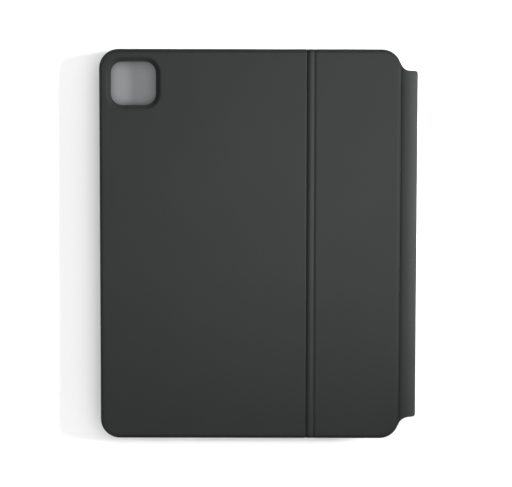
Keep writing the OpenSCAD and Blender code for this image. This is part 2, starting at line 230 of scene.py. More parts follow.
def fill_loops(bm, loops, points, keep):
    """Triangulates flat loops and loose points, and keeps the faces whose middle passes keep(x, y)."""
    coords, edges = [], []
    for loop in loops:
        first = len(coords)
        coords += [Vector(p) for p in loop]
        edges += [(first + i, first + (i + 1) % len(loop)) for i in range(len(loop))]
    coords += [Vector(p) for p in points]
    flat, _, faces, *_ = geometry.delaunay_2d_cdt(coords, edges, [], 0, 1e-7)
    verts = [bm.verts.new((p.x, p.y, 0)) for p in flat]
    for face in faces:
        middle = sum((flat[i] for i in face), Vector((0, 0))) / len(face)
        if keep(middle.x, middle.y):
            bm.faces.new([verts[i] for i in face])
    bmesh.ops.delete(bm, geom=[v for v in bm.verts if not v.link_faces], context="VERTS")


def bridge(bm, loops):
    """Faces between each closed loop of points and the next one."""
    for a, b in zip(loops, loops[1:]):
        for i in range(len(a)):
            j = (i + 1) % len(a)
            bm.faces.new((a[i], a[j], b[j], b[i]))


def extrude_border(bm):
    """Extrudes the border of a sheet in place, and gives the new points, which are then moved."""
    border = [e for e in bm.edges if len(e.link_faces) == 1]
    made = bmesh.ops.extrude_edge_only(bm, edges=border)
    return [g for g in made["geom"] if isinstance(g, bmesh.types.BMVert)]


def face_way(obj, way):
    """Turns a sheet's outer side up (way 1) or down (way -1)."""
    if way * sum(p.normal.z for p in obj.data.polygons) < 0:
        obj.data.flip_normals()


def smooth_step(t):
    """Smooth rise from 0 to 1 while t goes from 0 to 1."""
    t = min(max(t, 0), 1)
    return t * t * (3 - 2 * t)


# ---- Material helpers ----

def srgb(r, g, b):
    """Linear colour from sRGB values of 0 to 255."""

    def linear(c):
        return c / 255 / 12.92 if c <= 10 else ((c / 255 + 0.055) / 1.055) ** 2.4

    return linear(r), linear(g), linear(b), 1


class Surface:
    """A procedural material that is built up node by node round one Principled shader."""

    def __init__(self, name, rough=0.5, metallic=0.0, specular=0.5):
        self.mat = bpy.data.materials.new(name)
        self.mat.use_nodes = True
        self.tree = self.mat.node_tree
        self.shader = self.tree.nodes["Principled BSDF"]
        self.shader.inputs["Roughness"].default_value = rough
        self.shader.inputs["Metallic"].default_value = metallic
        self.shader.inputs["Specular IOR Level"].default_value = specular
        self.coords = self.tree.nodes.new("ShaderNodeTexCoord").outputs["Object"]
        self.height = None

    def link(self, a, b):
        self.tree.links.new(a, b)

    def stretch(self, scale):
        """Object coordinates, scaled along each axis."""
        node = self.tree.nodes.new("ShaderNodeMapping")
        node.inputs["Scale"].default_value = scale
        self.link(self.coords, node.inputs["Vector"])
        return node.outputs["Vector"]

    def noise(self, size_mm, detail=2.0, scale=None):
        """Noise with features of about the given size."""
        node = self.tree.nodes.new("ShaderNodeTexNoise")
        node.inputs["Scale"].default_value = 1 / (size_mm * MM)
        node.inputs["Detail"].default_value = detail
        self.link(self.stretch(scale) if scale else self.coords, node.inputs["Vector"])
        return node.outputs["Fac"]

    def cells(self, size_mm):
        """Distance to the nearest of scattered points."""
        node = self.tree.nodes.new("ShaderNodeTexVoronoi")
        node.inputs["Scale"].default_value = 1 / (size_mm * MM)
        self.link(self.coords, node.inputs["Vector"])
        return node.outputs["Distance"]

    def ramp(self, value, stops):
        """Maps a value to colours at given places."""
        node = self.tree.nodes.new("ShaderNodeValToRGB")
        ramp = node.color_ramp
        ramp.elements[0].position, ramp.elements[0].color = stops[0]
        ramp.elements[1].position, ramp.elements[1].color = stops[-1]
        for place, colour in stops[1:-1]:
            ramp.elements.new(place).color = colour
        self.link(value, node.inputs["Fac"])
        return node.outputs["Color"]

    def range(self, value, low, high):
        """Stretches a value of 0 to 1 to the range from low to high."""
        node = self.tree.nodes.new("ShaderNodeMapRange")
        node.inputs["To Min"].default_value = low
        node.inputs["To Max"].default_value = high
        self.link(value, node.inputs["Value"])
        return node.outputs["Result"]

    def attribute(self, name):
        """A number that the mesh holds at each of its points, and 0 on a mesh without it."""
        node = self.tree.nodes.new("ShaderNodeAttribute")
        node.attribute_name = name
        return node.outputs["Fac"]

    def mix(self, share, a, b):
        """Colour between a and b."""
        node = self.tree.nodes.new("ShaderNodeMix")
        node.data_type = "RGBA"
        # The colour sockets of a Mix node follow its sockets for numbers and vectors
        for value, socket in ((share, 0), (a, 6), (b, 7)):
            self.link(value, node.inputs[socket])
        return node.outputs[2]

    def colour(self, value):
        self.link(value, self.shader.inputs["Base Color"])

    def rough(self, value):
        self.link(value, self.shader.inputs["Roughness"])

    def bump(self, value, distance_mm, strength=1.0):
        """Adds one layer of bump on top of the layers before it."""
        node = self.tree.nodes.new("ShaderNodeBump")
        node.inputs["Distance"].default_value = distance_mm * MM
        node.inputs["Strength"].default_value = strength
        self.link(value, node.inputs["Height"])
        if self.height:
            self.link(self.height, node.inputs["Normal"])
        self.height = node.outputs["Normal"]
        self.link(self.height, self.shader.inputs["Normal"])


def tone(colour, factor):
    """The colour, made lighter or darker."""
    return tuple(c * factor for c in colour[:3]) + (1,)


def leather(name, colour, paint):
    """Matte soft-touch leather: fine pebble grain, faint clouds, and painted shade on its rolled edges, where
    shade falls.
    """
    s = Surface(name, rough=0.8, specular=0.3)
    clouds = s.noise(28, 3)
    skin = s.ramp(clouds, [(0.3, tone(colour, 0.95)), (0.7, tone(colour, 1.05))])
    edge = s.ramp(clouds, [(0.3, tone(paint, 0.9)), (0.7, tone(paint, 1.1))])
    # Painted shade: the colour darkens to the painted shade colour where the mesh marks its rolled edge and
    # window slope
    s.colour(s.mix(s.attribute("painted_edge_shade"), skin, edge))
    s.rough(s.range(s.noise(14, 4), 0.8, 0.88))
    s.bump(s.cells(0.55), 0.03, 0.55)
    s.bump(s.noise(0.22, 3), 0.012, 0.5)
    return s.mat


def plastic(name, colour, rough=0.5, grain_mm=0.12, depth_mm=0.006, specular=0.45):
    """Moulded plastic with a spark-eroded texture."""
    s = Surface(name, rough=rough, specular=specular)
    s.colour(s.ramp(s.noise(9, 3), [(0.35, tone(colour, 0.95)), (0.65, tone(colour, 1.05))]))
    s.rough(s.range(s.noise(3, 4), rough - 0.05, rough + 0.06))
    s.bump(s.noise(grain_mm, 2), depth_mm, 0.6)
    return s.mat


def metal_paint(name, colour):
    """Satin paint with fine metal flakes, as on an aluminium-look deck."""
    s = Surface(name, rough=0.42, metallic=0.35)
    s.colour(s.ramp(s.noise(0.09, 2), [(0.35, tone(colour, 0.9)), (0.65, tone(colour, 1.1))]))
    s.rough(s.range(s.noise(6, 4), 0.38, 0.48))
    s.bump(s.noise(0.1, 2), 0.004, 0.5)
    return s.mat


def steel(name, colour, rough=0.3):
    """Metal with lengthwise drawing marks."""
    s = Surface(name, rough=rough, metallic=1.0)
    lines = s.noise(0.25, 4, scale=(0.05, 1, 1))
    s.colour(s.ramp(lines, [(0.3, tone(colour, 0.88)), (0.7, tone(colour, 1.08))]))
    s.rough(s.range(lines, rough - 0.06, rough + 0.12))
    s.bump(lines, 0.004, 0.4)
    return s.mat


def microfibre(name, colour):
    """Short-pile lining cloth: mottled nap and strong sheen."""
    s = Surface(name, rough=0.92, specular=0.15)
    s.colour(s.ramp(s.noise(0.6, 5), [(0.3, tone(colour, 0.8)), (0.7, tone(colour, 1.18))]))
    s.bump(s.noise(0.18, 3), 0.05, 0.7)
    s.bump(s.noise(5, 3), 0.05, 0.4)
    s.shader.inputs["Sheen Weight"].default_value = 0.5
    s.shader.inputs["Sheen Roughness"].default_value = 0.4
    return s.mat


def circuit(name, colour):
    """Solder mask with faint copper runs under it."""
    s = Surface(name, rough=0.35)
    s.colour(s.ramp(s.cells(2.4), [(0.25, tone(colour, 0.75)), (0.45, tone(colour, 1.25))]))
    s.bump(s.cells(1.2), 0.02, 0.4)
    return s.mat


def glow_pipe(name, colour):
    """Milky light pipe."""
    s = Surface(name, rough=0.25, specular=0.5)
    s.colour(s.ramp(s.noise(0.5, 2), [(0.4, tone(colour, 0.95)), (0.6, colour)]))
    s.shader.inputs["Transmission Weight"].default_value = 0.3
    return s.mat


# Colour of the painted shade on the covers' rolled edges and on the camera window's slope
PAINTED_EDGE_SHADE = srgb(8, 8.3, 8.2)
SKIN = leather("cover_leather", srgb(24.8, 27.2, 26.2), PAINTED_EDGE_SHADE)
# Painted light: the spine strip's leather is a lighter copy of the cover leather, standing in for the light
# that the arched strip catches
SPINE_SKIN_PAINTED_LIGHT = leather("spine_leather_painted_light", srgb(29.5, 32, 31), PAINTED_EDGE_SHADE)
INSIDE = microfibre("lining_cloth", srgb(65, 67, 70))
SOFT = plastic("soft_frame_tpu", srgb(34, 34, 36), 0.55, 0.15, 0.008, 0.35)
SHELL = plastic("hard_shell_plastic", srgb(40, 41, 43), 0.5)
KEYCAP = plastic("keycap_plastic", srgb(36, 37, 39), 0.52, 0.1, 0.005, 0.4)
BOARD = plastic("stiffener_board", srgb(87, 83, 76), 0.8, 0.5, 0.03, 0.2)
RUBBER = plastic("foot_rubber", srgb(27, 27, 28), 0.75, 0.3, 0.02, 0.25)
PAD = plastic("trackpad_surface", srgb(104, 106, 109), 0.38, 0.08, 0.002, 0.5)
DECK = metal_paint("deck_paint", srgb(109, 110, 112))
STEEL = steel("bare_steel", srgb(176, 178, 180))
MAGNET = steel("nickel_plate", srgb(190, 188, 182), 0.22)
CELL = steel("cell_foil", srgb(186, 188, 190), 0.4)
MASK = circuit("solder_mask", srgb(28, 84, 54))
LIGHT = glow_pipe("light_pipe", srgb(232, 240, 233))
INK = plastic("legend_ink", srgb(205, 207, 210), 0.6, 0.3, 0.002)

SLOT_MATERIALS = {
    "cover_skin": SKIN, "stiffener": BOARD, "soft_frame": SOFT, "hard_shell": SHELL, "lining": INSIDE,
    "foot_rubber": RUBBER, "deck_plate": DECK, "trackpad": PAD, "keycaps": KEYCAP, "steel": STEEL,
    "magnet": MAGNET, "circuit": MASK, "cell": CELL, "light": LIGHT,
}


def finish_with(obj, material):
    """Sets a piece's only material."""
    obj.data.materials.clear()
    obj.data.materials.append(material)


# ---- Back cover: one skin over both panels, pressed into a bead and two grooves at the fold ----

# Bead at the fold: its middle, and the shape of its sides (2 would be a round one, 1 a ridge)
BEAD_Y = FOLD_Y - 0.25 * MM
BEAD_POWER = 1.7
# Groove on the wide panel's side of the bead, then on the leaf's side: where it is deepest, how deep it is
# there, and how wide its far wall is
GROOVES = ((2.65 * MM, 1.3 * MM, 0.6 * MM), (2.1 * MM, 0.62 * MM, 1.8 * MM))
# How far the outline dips in at the grooves, and how far from the outline that starts
FOLD_DIP = 0.15 * MM
FOLD_DIP_W = 4 * MM
# Places of the skin's rows of points across the fold, from the bead's middle, and of its rings of points
# inside the outline, in mm
FOLD_ROWS = (-4, -3.6, -3.4, -3.2, -3, -2.8, -2.6, -2.4, -2.1, -1.7, -1.3, -0.9, -0.4, 0,
             0.4, 0.8, 1.2, 1.6, 1.9, 2.1, 2.35, 2.7, 3.1, 3.5, 3.9, 4.6)
RINGS = (0, 0.05, 0.2, 0.45, 0.8, 1.3, 1.8, 2.3, 2.8, 3.3, 3.8, 4.6)


def fold_height(y):
    """Height of the skin near the fold, from the panels' level."""
    place, depth, wall = GROOVES[1 if y > BEAD_Y else 0]
    t = abs(y - BEAD_Y)
    if t < place:
        return -depth * (t / place) ** BEAD_POWER
    return -depth * (1 - smooth_step((t - place) / wall))


def rear_blend(y, elsewhere, rear):
    """A size that changes round the two rear corners to its value at the rear edge, beside the spine."""
    return elsewhere + (rear - elsewhere) * smooth_step((y - REAR_Y + CORNER) / CORNER)


def edge_height(d, y):
    """Drop of the skin towards its rolled edge, at a distance d inside the outline."""
    roll = rear_blend(y, EDGE_ROLL, REAR_ROLL)
    drop = CROWN * max(1 - d / CROWN_W, 0) ** 2
    if d < roll:
        drop += roll - math.sqrt(max(roll ** 2 - (roll - d) ** 2, 0))
    return -drop


def window_box(grow):
    """Corners and radius of the camera window, grown by some width."""
    inner = RIM_W - grow
    return (BEZEL_LO.x + inner, BEZEL_LO.y + inner, BEZEL_HI.x - inner, BEZEL_HI.y - inner, WINDOW_R + grow)


# Slope round the camera window: how deep it goes, how wide it is, and its rings of points, in mm
WINDOW_DROP = 1.9 * MM
WINDOW_SLOPE_W = 3.4 * MM
WINDOW_RINGS = (0, 0.3, 0.7, 1.2, 1.7, 2.2, 2.7, 3.1, 3.5, 4.1)
# How much of the painted edge shade that slope gets, as painted shade on the window's rim
WINDOW_SHADE_PAINT = 0.45
# How far the board's own window stands back from the window
BOARD_WINDOW = 1.5 * MM


def inside_covers(x, y):
    """Distance from the covers' outline, positive inside it."""
    return -box_distance(x, y, -HALF_W, FRONT_Y, HALF_W, REAR_Y, CORNER)


def from_window(x, y):
    """Distance from the camera window's edge, positive outside the window."""
    return box_distance(x, y, *window_box(0))


def window_height(x, y):
    """Drop of the skin towards the camera window's soft rim."""
    return -WINDOW_DROP * (1 - smooth_step(max(from_window(x, y), 0) / WINDOW_SLOPE_W))


def paint_edge_shade(obj):
    """Marks the rolled edge for painted shade, which fades towards the front edge, and the camera window's
    slope for a weaker painted shade.
    """
    paint = obj.data.attributes.new("painted_edge_shade", "FLOAT", "POINT")
    for v in obj.data.vertices:
        x, y, _ = v.co
        width = rear_blend(y, EDGE_ROLL, REAR_SHADE_PAINT_W)
        share = smooth_step(0.5 + (width - inside_covers(x, y)) / (2 * SHADE_PAINT_BLUR))
        share *= smooth_step((y - FRONT_Y - SHADE_PAINT_START) / SHADE_PAINT_RISE)
        # Painted shade on the slope round the camera window
        window_shade_share = WINDOW_SHADE_PAINT * smooth_step(1.2 - from_window(x, y) / WINDOW_SLOPE_W)
        paint.data[v.index].value = max(share, window_shade_share)


def cover_skin():
    """One skin over both panels, turned down round the outline and into the camera window."""
    fold_ys = [BEAD_Y + t * MM for t in FOLD_ROWS]
    ys = steps(FRONT_Y + CORNER_GRID, FRONT_Y + CORNER, CORNER_GRID)[:-1]
    ys += steps(FRONT_Y + CORNER, fold_ys[0], GRID)[:-1] + fold_ys
    ys += steps(fold_ys[-1], REAR_Y - CORNER, GRID)[1:]
    ys += steps(REAR_Y - CORNER, REAR_Y - CORNER_GRID, CORNER_GRID)[1:]
    xs = steps(-HALF_W + GRID, HALF_W - GRID, GRID)

    def ring(inset):
        d = inset * MM
        return rounded_loop(-HALF_W + d, FRONT_Y + d, HALF_W - d, REAR_Y - d, CORNER - d, xs, ys)

    window_xs = steps(BEZEL_LO.x, BEZEL_HI.x, GRID / 2)
    window_ys = steps(BEZEL_LO.y, BEZEL_HI.y, GRID / 2)
    window = [rounded_loop(*window_box(g * MM), window_xs, window_ys, 8) for g in WINDOW_RINGS]
    # Loose points keep clear of the last rings
    outer_d = WINDOW_RINGS[-1] * MM + 0.8 * MM
    inner_d = RINGS[-1] * MM + 0.9 * MM
    points = [(x, y) for x in xs for y in ys if inside_covers(x, y) > inner_d and from_window(x, y) > outer_d]
    bm = bmesh.new()
    fill_loops(bm, [ring(r) for r in RINGS] + window, points,
               lambda x, y: inside_covers(x, y) > 0 and from_window(x, y) > 0)
    for v in bm.verts:
        x, y = v.co.x, v.co.y
        d = inside_covers(x, y)
        v.co.z = TOP_Z + edge_height(d, y) + fold_height(y) * smooth_step((d + 1 * MM) / (2.5 * MM))
        v.co.z += window_height(x, y)
        dip = FOLD_DIP * -fold_height(y) / GROOVES[0][1] * smooth_step(1 - d / FOLD_DIP_W)
        v.co.x -= math.copysign(dip, x)
    # Side walls: the outline goes straight down to the tray, the window's edge down to its bezel
    for v in extrude_border(bm):
        near_window = from_window(v.co.x, v.co.y) < 1 * MM
        v.co.z = RIM_Z + (0.4 * MM if near_window else 0.1 * MM)
    obj = add_object("cover_skin", bm)
    face_way(obj, 1)
    solidify(obj, SKIN_T)
    shade(obj, 60)
    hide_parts("back_skin", "stand_skin")
    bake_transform(obj)
    finish_with(obj, SKIN)
    paint_edge_shade(obj)


cover_skin()


# ---- Spine: an arched strip, two fold beads and a turn under the deck ----

# Thickness of the strip, and of its foot, which is thinner
SPINE_T = 1.2 * MM
FOOT_T = 0.75 * MM
# Gap between the covers' rear edge and the strip
SEAM_GAP = 0.15 * MM
# Fold beads on the outer wall: their heights, half the width of a bead, and how deep the skin dips beside it
UPPER_FOLD_Z = 12 * MM
LOWER_FOLD_Z = 4 * MM
BEAD_HALF = 1.6 * MM
PINCH = 0.35 * MM
# The upper and the lower strip meet halfway between the beads
SEAM_Z = (UPPER_FOLD_Z + LOWER_FOLD_Z) / 2
# Middle of the arch, and how flat its side beside the covers is (1 would be as round as the outer side)
ARCH_Y = REAR_Y + 4.5 * MM
ARCH_Z = ARCH_LO.z
RISE = 0.65
# The ends: a small outer radius, and a flare that runs in to where it touches the covers' round corner
END_R = 1 * MM
FLARE_R = 8 * MM
CORNER_X = HALF_W - CORNER
CORNER_Y = REAR_Y - CORNER
FLARE_X = SPINE_HALF + FLARE_R
FLARE_Y = CORNER_Y + math.sqrt((FLARE_R + CORNER) ** 2 - (FLARE_X - CORNER_X) ** 2)
FLARE_REACH = (FLARE_Y - CORNER_Y) * FLARE_R / (FLARE_R + CORNER)


def strip_half(y):
    """Half length of the strip: its ends sweep out until they run into the covers' round corners."""
    if y > SPINE_Y - END_R:
        return SPINE_HALF - END_R + math.sqrt(max(END_R ** 2 - (y - SPINE_Y + END_R) ** 2, 0))
    if y >= FLARE_Y:
        return SPINE_HALF
    return FLARE_X - math.sqrt(FLARE_R ** 2 - min(FLARE_Y - y, FLARE_REACH) ** 2)


def seam_y(x):
    """Where the strip starts: just outside the covers' rear edge and round corners."""
    over = min(max(abs(x) - CORNER_X, 0), CORNER)
    return CORNER_Y + math.sqrt(CORNER ** 2 - over ** 2) + SEAM_GAP


def follow_seam(y, x):
    """Moves a place on the strip's front half, so that the strip starts on the seam at every x."""
    start = REAR_Y + SEAM_GAP
    share = min(max((ARCH_Y - y) / (ARCH_Y - start), 0), 1.2)
    return y + (seam_y(x) - start) * share


def end_of_row(y):
    """Where a row of the strip meets the strip's end outline."""
    x = strip_half(y)
    for _ in range(12):
        x = (x + strip_half(follow_seam(y, x))) / 2
    return x


def strip_thickness(y, z):
    """Thickness of the strip, which goes down to the foot's in front of the arch."""
    if y > ARCH_Y or z < ARCH_Z:
        return SPINE_T
    return FOOT_T + (SPINE_T - FOOT_T) * smooth_step((y - REAR_Y) / (ARCH_Y - REAR_Y))


def offset_path(path):
    """The strip's inner side: the path of (y, z) points, moved to its right by the strip's thickness."""
    moved = []
    for i, (y, z) in enumerate(path):
        before, after = path[max(i - 1, 0)], path[min(i + 1, len(path) - 1)]
        way = Vector((after[0] - before[0], after[1] - before[1])).normalized()
        distance = strip_thickness(y, z)
        moved.append((y + way.y * distance, z - way.x * distance))
    return moved


def strip_solid(name, path):
    """Closed strip along the spine: the path is its outer side, and its ends are rolled."""
    outer, inner = path, offset_path(path)
    # Each point of the section is a place along the path and a side of it, 0 for the outer one
    section = [(i, 0) for i in range(len(outer))] + [(i, 1) for i in reversed(range(len(outer)))]
    row_ends = [end_of_row(y) for y, z in outer]
    roll = SPINE_T / 2
    roll_angles = [math.radians(a) for a in (12, 32, 52, 72, 90)]
    ends = [(roll * (1 - math.cos(a)), math.sin(a)) for a in roll_angles]
    bm = bmesh.new()

    def column(place, inset, fullness):
        """One closed loop of the section at a place from -1 to 1 along the strip."""
        loop = []
        for i, side in section:
            share = 0.5 + (side - 0.5) * fullness
            y = outer[i][0] + (inner[i][0] - outer[i][0]) * share
            z = outer[i][1] + (inner[i][1] - outer[i][1]) * share
            x = place * (row_ends[i] - inset)
            loop.append(bm.verts.new((x, follow_seam(y, x), z)))
        return loop

    columns = [column(-1, inset, full) for inset, full in ends]
    reach = 1 - 4 * roll / SPINE_HALF
    columns += [column(place, roll, 1) for place in steps(-reach, reach, 1 / 28)]
    columns += [column(1, inset, full) for inset, full in reversed(ends)]
    bridge(bm, columns)
    n = len(section)
    for last in (columns[0], columns[-1]):
        for i in range(n // 2 - 1):
            bm.faces.new((last[i], last[i + 1], last[n - 2 - i], last[n - 1 - i]))
    obj = add_object(name, bm)
    shade(obj, 50)
    return obj


def fold_pinch(z, fold_z):
    """How far the wall's skin dips beside a fold bead."""
    t = abs(z - fold_z) / BEAD_HALF
    return PINCH * math.exp(-((t - 1) * 2.2) ** 2)


def wall_path(z_from, z_to):
    """Outer side of the spine's wall, pressed in beside both fold beads."""
    return [(SPINE_Y - fold_pinch(z, UPPER_FOLD_Z) - fold_pinch(z, LOWER_FOLD_Z), z)
            for z in steps(z_from, z_to, 0.3 * MM)]


def arch_path():
    """Outer side of the arch, and of its foot on the rail's rear face, which curves up into the arch."""
    arch_w, arch_h = SPINE_Y - ARCH_Y, ARCH_HI.z - ARCH_Z
    start = -math.asin((ARCH_Y - REAR_Y - SEAM_GAP) / arch_w)
    arch = []
    for a in steps(start, math.pi / 2, (math.pi / 2 - start) / 30):
        power = RISE if a < 0 else 1
        arch.append((ARCH_Y + arch_w * math.sin(a), ARCH_Z + arch_h * max(math.cos(a), 0) ** power))
    bend_r = 1 * MM
    (y, z), second = arch[:2]
    lean = math.atan2(second[0] - y, second[1] - z)
    bend_angles = [lean * i / 6 for i in range(6)]
    bend = [(y - bend_r * (math.cos(a) - math.cos(lean)), z - bend_r * (math.sin(lean) - math.sin(a)))
            for a in bend_angles]
    foot = [(bend[0][0], z) for z in steps(ARCH_Z + 0.2 * MM, bend[0][1], 0.5 * MM)]
    return foot[:-1] + bend + arch


def turn_path():
    """Outer side of the turn under the deck, and of the flat part there."""
    turn_r = 2.4 * MM
    y, z = SPINE_Y - turn_r, DECK_LO.z + turn_r
    angles = [math.radians(-6 * i) for i in range(16)]
    turn = [(y + turn_r * math.cos(a), z + turn_r * math.sin(a)) for a in angles]
    flat = [(y, DECK_LO.z) for y in steps(turn[-1][0], REAR_Y - 0.2 * MM, 0.8 * MM)]
    return turn + flat[1:]


def spine_covers():
    """The arched strip down to the wall's middle, and the strip from there to under the deck."""
    upper = strip_solid("spine_cover_upper", arch_path() + wall_path(ARCH_Z, SEAM_Z)[1:])
    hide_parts("spine_flange_upper", "spine_skin")
    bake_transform(upper)
    finish_with(upper, SPINE_SKIN_PAINTED_LIGHT)

    turn = turn_path()
    lower = strip_solid("spine_cover_lower", wall_path(SEAM_Z, turn[0][1]) + turn[1:])
    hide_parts("spine_flange_lower")
    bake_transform(lower)
    finish_with(lower, SPINE_SKIN_PAINTED_LIGHT)


spine_covers()


# ---- Camera window's lining: a soft lip under the skin's slope, down to the tray ----

def window_lip():
    """Closed ring whose section is given as steps out from the window's edge, in mm, and heights."""
    low, top = BEZEL_LO.z, TOP_Z - WINDOW_DROP - 0.05 * MM
    section = [(0, low), (-0.12, low + 0.1 * MM), (-0.15, (low + top) / 2), (-0.1, top - 0.25 * MM),
               (0.1, top - 0.05 * MM), (0.4, top), (1.3, top), (1.5, top - 0.2 * MM), (1.5, low)]
    bm = bmesh.new()
    loops = []
    for offset, z in section:
        x1, y1, x2, y2, r = window_box(offset * MM)
        loops.append([bm.verts.new((x, y, z)) for x, y in rounded_loop(x1, y1, x2, y2, r, [], [], 12)])
    bridge(bm, loops + loops[:1])
    obj = add_object("camera_window_lip", bm)
    shade(obj, 40)
    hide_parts("camera_bezel")
    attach(obj, "lid")
    finish_with(obj, SOFT)


window_lip()


# ---- Deck's underside skin, rolled up round the shell ----

def deck_skin():
    """Sheet under the deck, with its edge rolled up and a low wall above the roll."""
    half, front, rear = DECK_HI.x, DECK_LO.y, DECK_HI.y
    corner = CORNER - (HALF_W - half)
    roll = 0.7 * MM

    def inside(x, y):
        return -box_distance(x, y, -half, front, half, rear, corner)

    def ring(inset):
        g = inset * MM
        return rounded_loop(-half + g, front + g, half - g, rear - g, corner - g, xs, ys)

    xs = steps(-half + GRID, half - GRID, 6 * MM)
    ys = steps(front + GRID, rear - GRID, 6 * MM)
    points = [(x, y) for x in xs for y in ys if inside(x, y) > 3 * MM]
    bm = bmesh.new()
    fill_loops(bm, [ring(g) for g in (0, 0.1, 0.3, 0.55, 0.8, 1.4)], points, lambda x, y: inside(x, y) > 0)
    for v in bm.verts:
        d = min(inside(v.co.x, v.co.y), roll)
        v.co.z = DECK_LO.z + (roll - math.sqrt(max(roll ** 2 - (roll - d) ** 2, 0)))
    for v in extrude_border(bm):
        v.co.z = DECK_HI.z
    obj = add_object("deck_underside_skin", bm)
    face_way(obj, -1)
    solidify(obj, 0.35 * MM)
    shade(obj, 60)
    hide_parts("deck_skin")
    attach(obj, "deck")
    finish_with(obj, SKIN)


deck_skin()

# ---- Hard and soft moulded parts, with their edges rounded ----

finish_with(softened("bumper_frame", "soft_bumper_frame", 0.2 * MM, 3), SOFT)
finish_with(softened("rear_rail", "magnet_rail", 0.25 * MM, 3), SHELL)
finish_with(softened("tray_shell", "tablet_tray", 0.2 * MM), SHELL)
finish_with(softened("top_plate", "deck_plate", 0.15 * MM), DECK)
finish_with(softened("power_switch", "power_knob", 0.1 * MM), SHELL)
finish_with(softened("feet", "rubber_feet", 0.2 * MM, 3), RUBBER)
finish_with(softened("charging_port", "charging_socket", 0.06 * MM), STEEL)
finish_with(softened("trackpad", "trackpad_plate", 0.25 * MM, 3), PAD)
finish_with(softened("stand_board", "leaf_board", 0.15 * MM), BOARD)
finish_with(softened("spine_board", "spine_stiffener", 0.25 * MM, 3), SKIN)


def back_board():
    """The wide panel's board, with its window opened out so that it stays under the skin's slope."""
    board = softened("back_board", "panel_board", 0.15 * MM)
    window = window_box(BOARD_WINDOW)
    tiny = 0.01 * MM

    def distance(x, y):
        return box_distance(x, y, *window)

    for v in board.data.vertices:
        x, y, _ = v.co
        # Only the points on the window's own edge move, straight away from it
        if distance(x, y) > 0.3 * MM:
            continue
        outward = Vector((distance(x + tiny, y) - distance(x - tiny, y),
                          distance(x, y + tiny) - distance(x, y - tiny))).normalized()
        v.co.x += outward.x * (WINDOW_SLOPE_W - BOARD_WINDOW)
        v.co.y += outward.y * (WINDOW_SLOPE_W - BOARD_WINDOW)
    finish_with(board, BOARD)


def leaf_lining():
    """Cloth under the stand leaf, which also covers the hinge's strips, almost up to the barrel."""
    lo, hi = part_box("stand_lining")
    r = CORNER - (HALF_W - hi.x)
    front = FOLD_Y + 1.5 * MM

    def outline(inset):
        """Round corners at the rear, square corners at the hinge."""
        loop = rounded_loop(lo.x + inset, FRONT_Y, hi.x - inset, hi.y - inset, r - inset, [], [])
        rear = [(x, y) for x, y in loop if y > front]
        return rear + [(lo.x + inset, front + inset), (hi.x - inset, front + inset)]

    section = [(0, hi.z), (0, lo.z + 0.15 * MM), (0.05 * MM, lo.z + 0.05 * MM), (0.15 * MM, lo.z)]
    bm = bmesh.new()
    loops = [[bm.verts.new((x, y, z)) for x, y in outline(inset)] for inset, z in section]
    bridge(bm, loops)
    bm.faces.new(loops[0])
    bm.faces.new(loops[-1])
    obj = add_object("leaf_lining", bm)
    shade(obj, 40)
    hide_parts("stand_lining")
    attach(obj, BODY_OF["stand_lining"])
    finish_with(obj, INSIDE)


def button_cover(node, name):
    """Soft cover over a tablet button: a pillow-shaped pad outside, a stem through the frame's wall."""
    # The section is given as steps in from the pad's outline, in mm, and depths from its face
    lo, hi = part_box(node)
    pad_back = lo.y + 0.8 * MM
    section = [(2.2, lo.y), (1.4, lo.y + 0.02 * MM), (0.8, lo.y + 0.08 * MM), (0.4, lo.y + 0.2 * MM),
               (0.12, lo.y + 0.38 * MM), (0, lo.y + 0.6 * MM), (0, pad_back), (0.4, pad_back), (0.4, hi.y)]
    bm = bmesh.new()
    loops = []
    for inset, y in section:
        g = min(inset * MM, 0.45 * (hi.z - lo.z))
        r = max(0.9 * MM - g * 0.6, 0.12 * MM)
        points = rounded_loop(lo.x + g, lo.z + g, hi.x - g, hi.z - g, r, [], [], 6)
        loops.append([bm.verts.new((x, y, z)) for x, z in points])
    bridge(bm, loops)
    bm.faces.new(loops[0])
    bm.faces.new(loops[-1])
    obj = add_object(name, bm)
    shade(obj, 50)
    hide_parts(node)
    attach(obj, BODY_OF[node])
    finish_with(obj, SOFT)


back_board()
leaf_lining()
button_cover("volume_up_button", "volume_up_cover")
button_cover("volume_down_button", "volume_down_cover")

# ---- Keys ----

# Radius of the corners of large and of low keycaps, steps in a corner, and depth of the dish on top
KEY_R = 1.6 * MM
LOW_KEY_R = 1.2 * MM
KEY_TURNS = 5
DISH = 0.09 * MM
# Half the thickness of the print, and how far below the cap's highest point it lies
PRINT_HALF = 0.012 * MM
PRINT_DEPTH = 0.06 * MM
LETTER_SIZE = 5.2 * MM
WORD_SIZE = 3.1 * MM
ARROW_SIZE = 1.1 * MM


def key_cap(bm, lo, hi, radius):
    """One keycap: straight skirt, rounded shoulder and a shallow dish."""
    # The section is given as steps in from the skirt, in mm, and heights
    section = [(0, lo.z), (0, hi.z - 0.7 * MM), (0.06, hi.z - 0.35 * MM), (0.18, hi.z - 0.13 * MM),
               (0.4, hi.z - 0.02 * MM), (0.75, hi.z), (1.3, hi.z - DISH * 0.35), (2.4, hi.z - DISH * 0.8)]
    loops = []
    for inset, z in section:
        g = min(inset * MM, 0.42 * (hi.y - lo.y))
        r = max(radius - g * 0.7, 0.5 * MM)
        points = rounded_loop(lo.x + g, lo.y + g, hi.x - g, hi.y - g, r, [], [], KEY_TURNS)
        loops.append([bm.verts.new((x, y, z)) for x, y in points])
    bridge(bm, loops)
    bm.faces.new(list(reversed(loops[0])))
    bm.faces.new(loops[-1])


